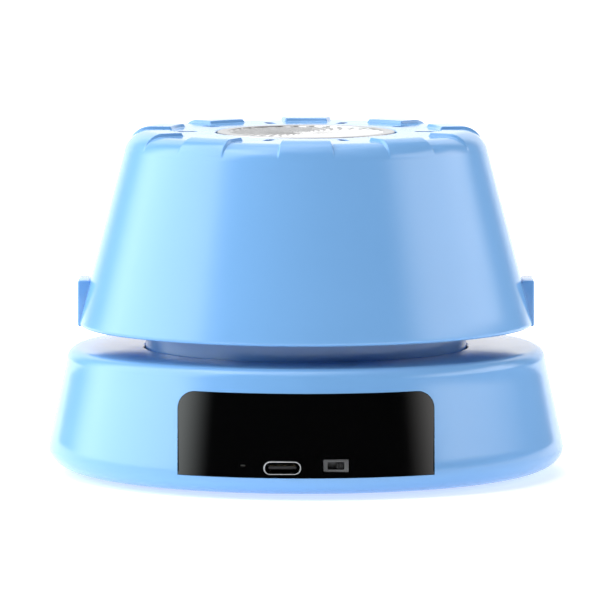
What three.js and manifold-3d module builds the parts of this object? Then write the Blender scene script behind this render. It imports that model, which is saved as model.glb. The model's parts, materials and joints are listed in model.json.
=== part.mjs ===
// Mini pottery wheel: a geared, battery-powered wheel head in a lift-off splash hood.
// Millimetres, +Z up. The feet stand on z = 0, the wheel head turns about the Z axis,
// and the charging port and the power switch face -Y.

import * as THREE from 'three';
import { mergeVertices } from 'three/addons/utils/BufferGeometryUtils.js';
import Module from 'manifold-3d';

const wasm = await Module();
wasm.setup();

// ---------------------------------------------------------------- driving sizes

// clearances
const gap = 0.3;                 // between pieces that rest on or beside each other
const portGap = 0.2;             // round the metal port and the switch in the panel
const turnGap = 0.5;             // between the wheel head and the hood round it

// base housing, heights measured from the housing's underside
const footStand = 0.8;           // how far the feet hold the housing off the table
const baseR = 63.04;             // widest radius
const baseBellyH = 5.82;         // height of the widest point
const baseFootFlare = 8.34;      // how far the rounded foot reaches in to the flat underside
const baseTaper = 4.57;          // how far the wall leans in up to the shoulder
const baseH = 29.93;             // overall height
const baseEdgeR = 3.0;           // shoulder rounding
const baseWall = 2.2;
const coverInset = 3.5;          // housing's underside left outside the cover
const coverT = 2.5;
const ledgeW = 2.2;              // how far the cover's ledge reaches in past its edge
const ledgeT = 2.0;

// motor tower
const towerR = 39.2;
const towerWall = 2.0;
const headroom = 10.3;           // from the tower's deck to the hood's top
const deckT = 2.3;
const clampT = 2.0;              // clamp ring under the tower's foot
const towerLip = 1.3;            // foot of the tower, trapped under the housing's top
const spigotInset = 6.6;         // tower's edge left outside the ring that centres the hood
const spigotW = 2.4;
const spigotH = 2.2;

// splash hood, heights measured from the housing's underside
const hoodRimH = 35.2;
const hoodTopH = 82.3;
const hoodSideRoom = 1.77;       // between the tower and the hood's wall at the hood's top
const hoodFlare = 12.33;         // how much wider the rim is than the top
const hoodEdgeR = 5.93;
const hoodRimEdgeR = 0.8;
const hoodWall = 2.2;
const hoodTopT = 2.4;
const seatW = 2.2;
const lugW = 13.0;
const lugTopH = 46.45;
const lugProud = 0.05;
const padCount = 10;
const padSpan = 18;              // degrees
const padRise = 0.8;
const padFlat = 5.6;             // flat length of a pad, inwards from the rounding
const padCornerR = 5.5;
const slotRimW = 4.3;            // from the wheel head's hole to a slot
const slotSeatW = 1.8;           // from a slot to the seat ring
const slotW = 2.2;
const notchW = 9.0;              // drain notches in the seat ring and the spigot

// wheel head and drive
const wheelR = 21.6;
const wheelProud = 0.1;          // wheel head above the hood's top
const wheelT = 3.0;
const wheelRimW = 2.6;
const wheelDish = 0.25;
const hubR = 8.0;
const shaftR = 3.0;
const clipGrooveD = 0.6;
const clipGrooveW = 1.2;
const clipT = 0.6;
const clipSpread = 2.2;          // how far the clip stands out from the shaft
const bearingR = 9.5;
const bearingW = 6.0;
const outerRaceW = 2.1;
const innerRaceW = 2.3;
const bearingLip = 1.5;
const pocketWall = 3.2;
const gearRoom = 13.5;           // from the gear plate up to the deck's underside
const plateT = 3.0;
const plateGap = 0.6;
const gearTeeth = 46;
const pinionTeeth = 14;
const gearT = 4.0;
const pinionT = 4.8;
const gearHubR = 6.0;
const backlash = 0.2;

// motor with its gearbox
const gearboxR = 12.5;
const gearboxH = 17.0;
const motorR = 12.2;
const motorH = 24.0;
const motorGap = 0.7;            // gearbox to the tower's inner wall
const outputShaftR = 2.0;
const shaftReach = 7.7;          // output shaft's length inside the gearbox
const collarR = 3.5;             // gearbox's collar round the output shaft
const collarH = 2.2;
const endCapT = 2.0;
const terminalX = 7.0;
const terminalT = 0.6;
const terminalW = 2.4;
const terminalH = 1.4;

// ports in the panel, x is their centre
const panelHalfW = 30.5;
const panelLowH = 4.7;
const panelHighH = 24.3;
const panelCornerR = 4.1;
const usbX = -5.6;
const usbW = 8.94;
const usbH = 3.26;
const usbDepth = 7.3;
const usbShellT = 0.35;
const usbH0 = 6.96;              // centre height above the housing's underside
const switchX = 7.09;
const switchH0 = 7.52;
const switchW = 6.08;
const switchH = 3.0;
const switchDepth = 5.0;
const switchSlotW = 3.95;
const switchSlotH = 1.8;
const knobW = 1.6;
const knobGap = 0.23;
const ledX = -15.0;
const ledH0 = 7.4;
const ledW = 1.0;
const ledH = 0.5;
const portInset = 1.14;          // flat faces of the ports, behind the widest radius

// battery, board and ballast
const cellR = 9.2;
const cellL = 65.0;
const cellY = 23.5;
const cradleWall = 1.5;
const cradleH = 8.4;
const boardT = 1.6;
const boardHalfW = 28.0;
const boardDepth = 21.44;
const boardInset = 1.4;          // board's edge to the housing's wall
const cellRoomLow = 0.5;
const cellRoomHigh = 0.4;
const ballastT = 3.0;
const ballastHalfW = 34.0;
const ballastFrontY = -30.0;
const ballastBackY = 11.0;
const leadR = 0.9;
const socketW = 6.0;
const socketL = 4.4;
const socketH = 3.4;
const socketWall = 0.7;
const socketX = 11.0;            // either side of the middle
const chipW = 5.2;
const chipT = 1.1;
const chipInset = 8.0;           // forwards from the board's back edge

// screws and feet
const screwBossR = 3.5;
const pilotR = 1.6;
const shankR = 1.2;
const headR = 2.75;
const headT = 1.9;
const towerScrewInset = 5.3;     // outwards from the tower's wall
const towerScrewAngles = [50, 130, 230, 310];
const coverScrewInset = 4.0;     // inwards from the cover's edge
const coverScrewAngles = [20, 160, 215, 325];
const coverHeadT = 0.9;
const screwStand = 0.1;          // cover screws' heads behind the housing's underside
const coverScrewL = 10.0;
const towerScrewL = 6.0;
const plateScrewL = 10.0;
const boardScrewL = 3.2;
const motorScrewL = 4.5;
const smallHeadT = 1.52;
const coverBossH = 10.0;
const coverPilotH = 8.5;
const platePilotH = 9.0;
const pillarR = 3.25;
const pillarInset = 3.45;        // between a pillar and the tower's inner wall
const pillarAngles = [90, 210, 330];
const motorScrewSpread = 8.5;
const footR = 5.5;
const footH = 1.7;
const footInset = 8.2;           // inwards from the cover's edge
const footAngles = [45, 135, 225, 315];
const boardScrewX = 22.0;
const boardScrewInset = 4.0;     // forwards from the board's back edge

// roundness
const shellSides = 40;
const ringSides = 20;
const screwSides = 10;
const edgeSteps = 3;

// ---------------------------------------------------------------- derived places

const baseUndersideR = baseR - baseFootFlare;
const baseShoulderR = baseR - baseTaper;
const coverR = baseUndersideR - coverInset;
const centreDistance = towerR - towerWall - gearboxR - motorGap;
const gearModule = 2 * centreDistance / (gearTeeth + pinionTeeth);
const baseTopZ = footStand + baseH;
const coverTopZ = footStand + coverT;
const ledgeZ = coverTopZ + gap;
const cellZ = coverTopZ + cellRoomLow + cellR;
const clampZ = cellZ + cellR + cellRoomHigh;
const bossLowZ = clampZ + clampT + gap;
const hoodRimZ = footStand + hoodRimH;
const hoodTopZ = footStand + hoodTopH;
const towerTopZ = hoodTopZ - headroom;
const deckZ = towerTopZ - deckT;
const plateTopZ = deckZ - gearRoom;
const plateZ = plateTopZ - plateT;
const spigotR = towerR - spigotInset;
const hoodTopR = towerR + hoodSideRoom + hoodWall;
const hoodRimR = hoodTopR + hoodFlare;
const lugR = hoodRimR + lugProud;
const seatZ = towerTopZ + gap;
const seatInnerR = spigotR + turnGap;
const slotInnerR = wheelR + turnGap + slotRimW;
const slotOuterR = seatInnerR - slotSeatW;
const wheelTopZ = hoodTopZ + wheelProud;
const wheelZ = wheelTopZ - wheelT;
const pocketR = bearingR + gap;
const sealTopZ = towerTopZ - gap;
const sealT = 1.6;
const upperBearingZ = sealTopZ - sealT - gap - bearingW;
const lowerBearingZ = plateTopZ - gap - bearingW;
const gearZ = plateTopZ + 0.9;
const gearboxZ = plateZ - gap - gearboxH;
const motorZ = gearboxZ - gap - motorH;
const endCapZ = motorZ - gap - endCapT;
const clipZ = lowerBearingZ - clipT - 0.7;
const shaftLowZ = lowerBearingZ - bearingLip - 1.2;
const boardZ = footStand + usbH0 - usbH / 2 - gap - boardT;
const boardTopZ = boardZ + boardT;
const boardFrontR = baseR - baseWall - boardInset;
const boardBackY = boardDepth - boardFrontR;
const boardScrewY = boardBackY - boardScrewInset;
const portFaceR = baseR - portInset;
const portFaceY = -portFaceR;
const switchTravel = switchSlotW - knobW - 2 * knobGap;
const knobX = switchX - switchSlotW / 2 + knobGap + switchTravel + knobW / 2;
const towerScrewRing = towerR + towerScrewInset;
const clampR = towerScrewRing + screwBossR;
const coverScrewRing = coverR - coverScrewInset;
const footRing = coverR - footInset;
const pillarRing = towerR - towerWall - pillarInset - pillarR;

// ---------------------------------------------------------------- finishes

function finish(colour, roughness, metalness) {
  return new THREE.MeshStandardMaterial({ color: colour, roughness, metalness });
}

const finishes = {
  bluePlastic: finish(0x86bff5, 0.22, 0),
  blackGloss: finish(0x0b0c0e, 0.08, 0),
  blackMatt: finish(0x1a1b1d, 0.55, 0),
  greyPlastic: finish(0x8d9298, 0.5, 0),
  aluminium: finish(0xd9dbdd, 0.3, 1),
  steel: finish(0xb4b7ba, 0.35, 1),
  bearingSteel: finish(0xc8cacc, 0.2, 1),
  rubber: finish(0x2a2b2d, 0.85, 0),
  nylon: finish(0xe9e6dc, 0.45, 0),
  brass: finish(0xc9a552, 0.35, 1),
  board: finish(0x14613a, 0.45, 0),
  cellWrap: finish(0x3a7d9c, 0.4, 0),
  diffuser: finish(0xf2f4f0, 0.3, 0),
  redWire: finish(0xb3261e, 0.5, 0),
};

// ---------------------------------------------------------------- shape helpers

// Welds a geometry's vertices, drops empty triangles and turns its faces outwards.
function weld(geometry) {
  const bare = new THREE.BufferGeometry();
  bare.setAttribute('position', geometry.getAttribute('position').clone());
  const order = geometry.index ? Array.from(geometry.index.array) : null;
  bare.setIndex(order ?? [...Array(bare.getAttribute('position').count).keys()]);
  const merged = mergeVertices(bare, 1e-4);
  const position = merged.getAttribute('position');
  const corners = merged.index.array;
  const kept = [];
  const a = new THREE.Vector3();
  const b = new THREE.Vector3();
  const c = new THREE.Vector3();
  let volume = 0;
  for (let i = 0; i < corners.length; i += 3) {
    const [p, q, r] = [corners[i], corners[i + 1], corners[i + 2]];
    if (p === q || q === r || r === p) continue;
    kept.push(p, q, r);
    a.fromBufferAttribute(position, p);
    b.fromBufferAttribute(position, q);
    c.fromBufferAttribute(position, r);
    volume += a.dot(b.cross(c));
  }
  if (volume < 0) kept.reverse();
  merged.setIndex(kept);
  return merged;
}

function solidOf(geometry) {
  const welded = weld(geometry);
  const vertProperties = new Float32Array(welded.getAttribute('position').array);
  const triVerts = new Uint32Array(welded.index.array);
  return new wasm.Manifold(new wasm.Mesh({ numProp: 3, vertProperties, triVerts }));
}

function geometryOf(solid) {
  const mesh = solid.getMesh();
  const geometry = new THREE.BufferGeometry();
  geometry.setAttribute('position', new THREE.BufferAttribute(mesh.vertProperties, 3));
  geometry.setIndex(new THREE.BufferAttribute(mesh.triVerts, 1));
  return geometry;
}

// A body turned about Z from [radius, z] points; the first corner faces -Y.
function turned(points, sides = ringSides, closed = false) {
  const outline = points.map(([r, z]) => new THREE.Vector2(r, z));
  if (closed) outline.push(outline[0].clone());
  return solidOf(new THREE.LatheGeometry(outline, sides).rotateX(Math.PI / 2));
}

function ring(innerR, outerR, z0, z1, sides = ringSides) {
  return turned([[innerR, z0], [outerR, z0], [outerR, z1], [innerR, z1]], sides, true);
}

function rod(radius, z0, z1, sides = ringSides) {
  return turned([[0, z0], [radius, z0], [radius, z1], [0, z1]], sides);
}

function block(x0, x1, y0, y1, z0, z1) {
  const box = new THREE.BoxGeometry(x1 - x0, y1 - y0, z1 - z0);
  return solidOf(box.translate((x0 + x1) / 2, (y0 + y1) / 2, (z0 + z1) / 2));
}

// A flat outline in X and Y, raised from z0 to z1.
function raised(shape, z0, z1, curveSegments = 3) {
  const options = { depth: z1 - z0, bevelEnabled: false, curveSegments };
  return solidOf(new THREE.ExtrudeGeometry(shape, options).translate(0, 0, z0));
}

// A flat outline in X and Z, pushed from y0 back to y1.
function pushed(shape, y0, y1, curveSegments = 3) {
  const options = { depth: y1 - y0, bevelEnabled: false, curveSegments };
  const geometry = new THREE.ExtrudeGeometry(shape, options).rotateX(Math.PI / 2);
  return solidOf(geometry.translate(0, y1, 0));
}

function arc(centreR, centreZ, radius, fromDegrees, toDegrees, steps = edgeSteps) {
  const points = [];
  for (let i = 0; i <= steps; i++) {
    const angle = THREE.MathUtils.degToRad(fromDegrees + (toDegrees - fromDegrees) * i / steps);
    points.push([centreR + radius * Math.cos(angle), centreZ + radius * Math.sin(angle)]);
  }
  return points;
}

function polar(radius, degrees) {
  const angle = THREE.MathUtils.degToRad(degrees);
  return [radius * Math.cos(angle), radius * Math.sin(angle)];
}

function at(solid, [x, y], z = 0) {
  return solid.translate([x, y, z]);
}

function roundedRectangle(x, z, width, height, radius) {
  const shape = new THREE.Shape();
  const [left, right, low, high] = [x - width / 2, x + width / 2, z - height / 2, z + height / 2];
  shape.moveTo(left + radius, low);
  shape.lineTo(right - radius, low);
  shape.absarc(right - radius, low + radius, radius, -Math.PI / 2, 0, false);
  shape.lineTo(right, high - radius);
  shape.absarc(right - radius, high - radius, radius, 0, Math.PI / 2, false);
  shape.lineTo(left + radius, high);
  shape.absarc(left + radius, high - radius, radius, Math.PI / 2, Math.PI, false);
  shape.lineTo(left, low + radius);
  shape.absarc(left + radius, low + radius, radius, Math.PI, Math.PI * 1.5, false);
  return shape;
}

// ---------------------------------------------------------------- base

const shoulderInnerR = baseShoulderR - baseEdgeR;

// The housing's outer outline from the underside's edge up to the top's edge.
function housingOutline() {
  const points = [];
  const spreadR = baseR - baseUndersideR;
  for (let i = 0; i <= edgeSteps + 1; i++) {
    const angle = Math.PI / 2 * i / (edgeSteps + 1);
    const z = footStand + baseBellyH * (1 - Math.cos(angle));
    points.push([baseUndersideR + spreadR * Math.sin(angle), z]);
  }
  return [...points, ...arc(shoulderInnerR, baseTopZ - baseEdgeR, baseEdgeR, 0, 90)];
}

function housingCavityOutline() {
  const floorZ = ledgeZ + ledgeT;
  const innerEdgeR = baseEdgeR - baseWall;
  const wallLow = [baseR - baseWall, Math.max(floorZ + gap, footStand + baseBellyH)];
  const shoulder = arc(shoulderInnerR, baseTopZ - baseEdgeR, innerEdgeR, 0, 90, 2);
  return [[baseR - baseWall - 0.1, floorZ], wallLow, ...shoulder];
}

function closeToAxis(points) {
  const first = points[0];
  const last = points[points.length - 1];
  return [[0, first[1]], ...points, [0, last[1]]];
}

// The port panel's outline in X and Z, grown all round by a clearance.
function panelOutline(grow) {
  const [left, right] = [-panelHalfW - grow, panelHalfW + grow];
  const low = footStand + panelLowH - grow;
  const high = footStand + panelHighH + grow;
  const radius = panelCornerR + grow;
  const shape = new THREE.Shape();
  shape.moveTo(left, low);
  shape.lineTo(right, low);
  shape.lineTo(right, high - radius);
  shape.absarc(right - radius, high - radius, radius, 0, Math.PI / 2, false);
  shape.lineTo(left + radius, high);
  shape.absarc(left + radius, high - radius, radius, Math.PI / 2, Math.PI, false);
  return shape;
}

function baseHousing() {
  const panelBackY = -Math.sqrt((baseShoulderR - baseWall) ** 2 - (panelHalfW + gap) ** 2) + 1;
  let body = turned(closeToAxis(housingOutline()), shellSides);
  body = body.subtract(turned(closeToAxis(housingCavityOutline()), shellSides));
  body = body.subtract(rod(coverR + gap, 0, ledgeZ, shellSides));
  body = body.subtract(rod(coverR - ledgeW, 0, ledgeZ + ledgeT + gap, shellSides));
  body = body.subtract(rod(towerR + gap, bossLowZ, baseTopZ + gap, shellSides));
  for (const angle of coverScrewAngles) {
    const boss = rod(screwBossR, ledgeZ, ledgeZ + coverBossH, screwSides);
    body = body.add(at(boss, polar(coverScrewRing, angle)));
  }
  for (const angle of towerScrewAngles) {
    const boss = rod(screwBossR, bossLowZ, baseTopZ - baseWall / 2, screwSides);
    body = body.add(at(boss, polar(towerScrewRing, angle)));
  }
  for (const angle of coverScrewAngles) {
    const pilot = rod(pilotR, ledgeZ - gap, ledgeZ + coverPilotH, screwSides);
    body = body.subtract(at(pilot, polar(coverScrewRing, angle)));
  }
  for (const angle of towerScrewAngles) {
    const pilot = rod(pilotR, bossLowZ - gap, baseTopZ - 1.1, screwSides);
    body = body.subtract(at(pilot, polar(towerScrewRing, angle)));
  }
  body = body.subtract(pushed(panelOutline(gap), -baseR - gap, panelBackY));
  const bayHalfW = boardHalfW + gap;
  const bayTopZ = ledgeZ + ledgeT + gap;
  const bay = block(-bayHalfW, bayHalfW, -baseR, boardBackY, ledgeZ - gap, bayTopZ);
  return body.subtract(bay.intersect(rod(boardFrontR + gap, 0, bayTopZ + 1, shellSides)));
}

function portPanel() {
  const skin = turned(closeToAxis(housingOutline()), shellSides);
  const cavity = turned(closeToAxis(housingCavityOutline()), shellSides);
  const lowHollow = rod(baseR - baseWall - 0.1, 0, ledgeZ + ledgeT + gap, shellSides);
  let body = skin.subtract(cavity.add(lowHollow)).intersect(pushed(panelOutline(0), -baseR - gap, 0));
  const usbHole = roundedRectangle(usbX, footStand + usbH0, usbW + 2 * portGap,
    usbH + 2 * portGap, usbH / 2 + portGap - 0.01);
  body = body.subtract(pushed(usbHole, -baseR, 0, 2));
  const z = footStand + switchH0;
  body = body.subtract(block(switchX - switchW / 2 - portGap, switchX + switchW / 2 + portGap,
    -baseR, 0, z - switchH / 2 - portGap, z + switchH / 2 + portGap));
  const ledZ = footStand + ledH0;
  return body.subtract(block(ledX - ledW / 2 - portGap, ledX + ledW / 2 + portGap,
    -baseR, 0, ledZ - ledH / 2 - portGap, ledZ + ledH / 2 + portGap));
}

function bottomCover() {
  let body = rod(coverR, footStand, coverTopZ, shellSides);
  for (const side of [-1, 1]) {
    const post = rod(screwBossR - 0.8, coverTopZ - gap, boardZ - gap, screwSides);
    body = body.add(at(post, [side * boardScrewX, boardScrewY]));
  }
  for (const angle of footAngles) {
    const recess = rod(footR + gap, 0, footH + gap, ringSides);
    body = body.subtract(at(recess, polar(footRing, angle)));
  }
  for (const angle of coverScrewAngles) {
    const hole = rod(pilotR + 0.1, 0, coverTopZ + 1, screwSides);
    const headPocket = rod(headR + gap, 0, footStand + screwStand + coverHeadT + gap, screwSides);
    body = body.subtract(at(hole.add(headPocket), polar(coverScrewRing, angle)));
  }
  for (const side of [-1, 1]) {
    const pilot = rod(shankR + gap, footStand + 0.7, boardZ, screwSides);
    body = body.subtract(at(pilot, [side * boardScrewX, boardScrewY]));
  }
  return body;
}

// A pan-head screw with its head's seat at z = 0 and its shank pointing up.
function screwUp(length, thickness = headT) {
  return turned([[0, -thickness], [headR * 0.8, -thickness], [headR, -thickness * 0.6],
    [headR, 0], [shankR, 0], [shankR, length], [0, length]], screwSides);
}

function rubberFoot() {
  return turned([[0, 0], [footR - 0.5, 0], [footR, 0.5], [footR, footH], [0, footH]], ringSides);
}

// ---------------------------------------------------------------- inside the base

function ballastPlate() {
  return block(-ballastHalfW, ballastHalfW, ballastFrontY, ballastBackY,
    coverTopZ + gap, coverTopZ + gap + ballastT);
}

function batteryCell() {
  const half = cellL / 2;
  const buttonR = cellR * 0.3;
  const profile = [[0, -half], [cellR - 0.6, -half], [cellR, -half + 0.6], [cellR, half - 1.4],
    [cellR - 0.6, half - 0.8], [buttonR, half - 0.8], [buttonR, half], [0, half]];
  return turned(profile, ringSides).rotate([0, 90, 0]);
}

function batteryCradle() {
  const outerX = cellL / 2 + gap + cradleWall;
  const outerY = cellR + gap + 0.4;
  const body = block(-outerX, outerX, -outerY, outerY, 0, cradleH);
  const bed = rod(cellR + gap, -cellL / 2 - gap, cellL / 2 + gap, ringSides).rotate([0, 90, 0]);
  return body.subtract(bed.translate([0, 0, cellZ - ledgeZ]));
}

function controlBoard() {
  const corner = Math.asin(boardHalfW / boardFrontR);
  const shape = new THREE.Shape();
  shape.moveTo(-boardHalfW, boardBackY);
  shape.lineTo(-boardHalfW, -boardFrontR * Math.cos(corner));
  shape.absarc(0, 0, boardFrontR, -Math.PI / 2 - corner, -Math.PI / 2 + corner, false);
  shape.lineTo(boardHalfW, boardBackY);
  let body = raised(shape, boardZ, boardTopZ, 5);
  for (const side of [-1, 1]) {
    const hole = rod(shankR + gap, boardZ - 1, boardTopZ + 1, screwSides);
    body = body.subtract(at(hole, [side * boardScrewX, boardScrewY]));
  }
  return body;
}

function leadSocket() {
  const [halfW, halfL] = [socketW / 2, socketL / 2];
  const innerW = halfW - socketWall;
  const body = block(-halfW, halfW, -halfL, halfL, 0, socketH);
  return body.subtract(block(-innerW, innerW, 1 - halfL, halfL + 0.1, socketWall, socketH - 0.6));
}

function driverChip() {
  return block(-chipW / 2, chipW / 2, -chipW / 2, chipW / 2, 0, chipT);
}

function lead(points) {
  const section = new THREE.Shape().absarc(0, 0, leadR, 0, Math.PI * 2, false);
  const path = new THREE.CatmullRomCurve3(points.map((p) => new THREE.Vector3(...p)));
  const options = { steps: 14, bevelEnabled: false, curveSegments: 4, extrudePath: path };
  return solidOf(new THREE.ExtrudeGeometry(section, options));
}

// ---------------------------------------------------------------- ports and switch

function usbShell() {
  const outer = roundedRectangle(0, 0, usbW, usbH, usbH / 2 - 0.01);
  const inner = roundedRectangle(0, 0, usbW - 2 * usbShellT, usbH - 2 * usbShellT,
    usbH / 2 - usbShellT - 0.01);
  return pushed(outer, 0, usbDepth, 2).subtract(pushed(inner, -1, usbDepth + 1, 2));
}

function usbTongue() {
  const rearW = usbW - 2 * usbShellT - 2 * gap - 1;
  const rearH = usbH - 2 * usbShellT - 2 * gap;
  const blade = block(-3.3, 3.3, 1.2, usbDepth - 1, -0.35, 0.35);
  return blade.add(block(-rearW / 2, rearW / 2, usbDepth - 1.6, usbDepth - 0.4, -rearH / 2, rearH / 2));
}

function switchFrame() {
  const body = block(-switchW / 2, switchW / 2, 0, switchDepth, -switchH / 2, switchH / 2);
  return body.subtract(block(-switchSlotW / 2, switchSlotW / 2, -1, switchDepth - 1.2,
    -switchSlotH / 2, switchSlotH / 2));
}

function switchKnob() {
  const high = switchSlotH / 2 - knobGap;
  let body = block(-knobW / 2, knobW / 2, 0.3, switchDepth - 1.2 - gap, -high, high);
  for (const x of [-0.4, 0, 0.4]) {
    body = body.subtract(block(x - 0.1, x + 0.1, 0, 0.55, -high - 1, high + 1));
  }
  return body;
}

function statusLed() {
  const guide = block(-ledW / 2, ledW / 2, 0, 3.6, -ledH / 2, ledH / 2);
  return guide.add(block(-1, 1, 3.3, 4.9, boardTopZ + gap - footStand - ledH0, 0.8));
}

// ---------------------------------------------------------------- tower and gear plate

function motorTower() {
  const innerR = towerR - towerWall;
  const bossR = pocketR + pocketWall;
  const lipZ = upperBearingZ - gap - bearingLip;
  const lipTopZ = baseTopZ - baseWall - gap;
  const innerLipR = bearingR - outerRaceW + 0.6;
  let body = turned([
    [innerR, bossLowZ], [towerR + towerLip, bossLowZ], [towerR + towerLip, lipTopZ],
    [towerR, lipTopZ], [towerR, towerTopZ - 0.8], [towerR - 0.8, towerTopZ],
    [spigotR, towerTopZ], [spigotR, towerTopZ + spigotH - 0.5],
    [spigotR - 0.5, towerTopZ + spigotH], [spigotR - spigotW, towerTopZ + spigotH],
    [spigotR - spigotW, towerTopZ], [pocketR, towerTopZ], [pocketR, upperBearingZ - gap],
    [innerLipR, upperBearingZ - gap], [innerLipR, lipZ], [bossR, lipZ], [bossR, deckZ],
    [innerR, deckZ],
  ], shellSides, true);
  const drain = notchW / 2;
  for (const turn of [45, 135]) {
    const notch = block(-towerR, towerR, -drain, drain, towerTopZ + 0.4, towerTopZ + spigotH + 1);
    body = body.subtract(notch.rotate([0, 0, turn]));
  }
  for (const angle of pillarAngles) {
    const pillar = rod(pillarR, plateTopZ + gap, towerTopZ - 1, screwSides);
    body = body.add(at(pillar, polar(pillarRing, angle)));
  }
  for (const angle of pillarAngles) {
    const pilot = rod(pilotR, plateTopZ, plateTopZ + platePilotH, screwSides);
    body = body.subtract(at(pilot, polar(pillarRing, angle)));
  }
  return body;
}

function clampRing() {
  let body = ring(towerR - towerWall, clampR, 0, clampT, shellSides);
  for (const angle of towerScrewAngles) {
    const hole = rod(pilotR, -1, clampT + 1, screwSides);
    body = body.subtract(at(hole, polar(towerScrewRing, angle)));
  }
  return body;
}

function gearPlate() {
  const innerLipR = bearingR - outerRaceW + 0.6;
  const lipZ = lowerBearingZ - gap - bearingLip;
  let body = turned([
    [innerLipR, lipZ], [pocketR + pocketWall, lipZ], [pocketR + pocketWall, plateZ],
    [towerR - towerWall - plateGap, plateZ], [towerR - towerWall - plateGap, plateTopZ],
    [pocketR, plateTopZ], [pocketR, lowerBearingZ - gap], [innerLipR, lowerBearingZ - gap],
  ], shellSides / 2, true);
  body = body.subtract(at(rod(gearboxR + gap, lipZ - 1, plateZ, ringSides), [0, -centreDistance]));
  const collarHole = rod(collarR + 2 * gap, plateZ - 1, plateTopZ + 1, ringSides);
  body = body.subtract(at(collarHole, [0, -centreDistance]));
  for (const side of [-1, 1]) {
    const place = [side * motorScrewSpread, -centreDistance];
    const hole = rod(pilotR, plateZ - 1, plateTopZ + 1, screwSides);
    const pocket = rod(headR + gap, plateTopZ - headT + 0.1, plateTopZ + 1, screwSides);
    body = body.subtract(at(hole.add(pocket), place));
  }
  for (const angle of pillarAngles) {
    const hole = rod(pilotR, plateZ - 1, plateTopZ + 1, screwSides);
    body = body.subtract(at(hole, polar(pillarRing, angle)));
  }
  return body;
}

// ---------------------------------------------------------------- bearings and spindle

function bearingOuter() {
  return ring(bearingR - outerRaceW, bearingR, 0, bearingW);
}

function bearingInner() {
  return ring(shaftR + gap, shaftR + gap + innerRaceW, 0, bearingW);
}

function spindleShaft() {
  const grooveZ = clipZ - gap;
  return turned([
    [0, shaftLowZ], [shaftR - 0.4, shaftLowZ], [shaftR, shaftLowZ + 0.4],
    [shaftR, grooveZ], [shaftR - clipGrooveD, grooveZ],
    [shaftR - clipGrooveD, grooveZ + clipGrooveW], [shaftR, grooveZ + clipGrooveW],
    [shaftR, wheelZ - gap], [0, wheelZ - gap],
  ], ringSides);
}

function retainingClip() {
  return ring(shaftR - gap, shaftR + clipSpread, 0, clipT);
}

// Half the angle a tooth fills at a radius, for an involute tooth of 20 degrees.
function toothHalfAngle(teeth, radius) {
  const pressure = THREE.MathUtils.degToRad(20);
  const pitchR = gearModule * teeth / 2;
  const involute = (angle) => Math.tan(angle) - angle;
  const at20 = involute(pressure);
  const here = involute(Math.acos(Math.min(1, pitchR * Math.cos(pressure) / radius)));
  return Math.PI / (2 * teeth) - backlash / (4 * pitchR) + at20 - here;
}

// A spur gear's outline; the first tooth points at the given angle.
function gearOutline(teeth, firstTooth) {
  const pitchR = gearModule * teeth / 2;
  const tipR = pitchR + 0.8 * gearModule;
  const rootR = pitchR - 1.05 * gearModule;
  const baseCircleR = pitchR * Math.cos(THREE.MathUtils.degToRad(20));
  const flankR = Math.max(baseCircleR, rootR + 0.05);
  const flankSteps = 1;
  const shape = new THREE.Shape();
  for (let tooth = 0; tooth < teeth; tooth++) {
    const middle = firstTooth + 2 * Math.PI * tooth / teeth;
    const side = [];
    for (let i = 0; i <= flankSteps; i++) {
      const radius = flankR + (tipR - flankR) * i / flankSteps;
      side.push([radius, toothHalfAngle(teeth, radius)]);
    }
    side.unshift([rootR, side[0][1] + 0.01]);
    const points = [
      ...side.map(([radius, half]) => [radius, middle - half]),
      ...side.reverse().map(([radius, half]) => [radius, middle + half]),
    ];
    for (const [radius, angle] of points) {
      const [x, y] = [radius * Math.cos(angle), radius * Math.sin(angle)];
      if (shape.curves.length === 0 && shape.currentPoint.lengthSq() === 0) shape.moveTo(x, y);
      else shape.lineTo(x, y);
    }
  }
  return shape;
}

function driveGear() {
  const body = raised(gearOutline(gearTeeth, -Math.PI / 2), 0, gearT);
  const hub = rod(gearHubR, 0, gearT, ringSides);
  const webCut = ring(gearHubR + 1.5, gearModule * gearTeeth / 2 - 3.5, gearT - 1.2, gearT + 1);
  return body.add(hub).subtract(webCut).subtract(rod(shaftR + gap, -1, gearT + 2, ringSides));
}

function motorPinion() {
  const halfTooth = Math.PI / pinionTeeth;
  const body = raised(gearOutline(pinionTeeth, Math.PI / 2 + halfTooth), 0, pinionT);
  return body.subtract(rod(outputShaftR + gap, -1, pinionT + 1, ringSides));
}

function wheelHead() {
  const innerR = wheelR - wheelRimW;
  return turned([
    [0, 0], [wheelR - 0.6, 0], [wheelR, 0.6], [wheelR, wheelT - 0.2], [wheelR - 0.2, wheelT],
    [innerR + wheelDish, wheelT], [innerR, wheelT - wheelDish], [0, wheelT - wheelDish],
  ], shellSides);
}

function headHub(height) {
  return turned([
    [shaftR + gap, 0], [hubR - 1, 0], [hubR, 1], [hubR, height - 1.4], [hubR + 5, height - 1.4],
    [hubR + 5, height], [shaftR + gap, height],
  ], ringSides, true);
}

function slinger() {
  const skirtR = pocketR + 1.4;
  return turned([
    [shaftR + gap, 0.2], [skirtR - 1.2, 0.2], [skirtR, -0.2], [skirtR, 0.5], [skirtR - 1, 1],
    [shaftR + gap, 1],
  ], ringSides, true);
}

// ---------------------------------------------------------------- motor

function motorGearbox() {
  const pilots = [];
  for (const side of [-1, 1]) {
    pilots.push(at(rod(pilotR, gearboxH - 5, gearboxH + 1, screwSides), [side * motorScrewSpread, 0]));
  }
  const body = turned([
    [0, 0], [gearboxR, 0], [gearboxR, gearboxH], [collarR, gearboxH],
    [collarR, gearboxH + collarH], [outputShaftR + gap, gearboxH + collarH],
    [outputShaftR + gap, gearboxH - shaftReach - gap], [0, gearboxH - shaftReach - gap],
  ], ringSides);
  return body.subtract(pilots[0]).subtract(pilots[1]);
}

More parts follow.
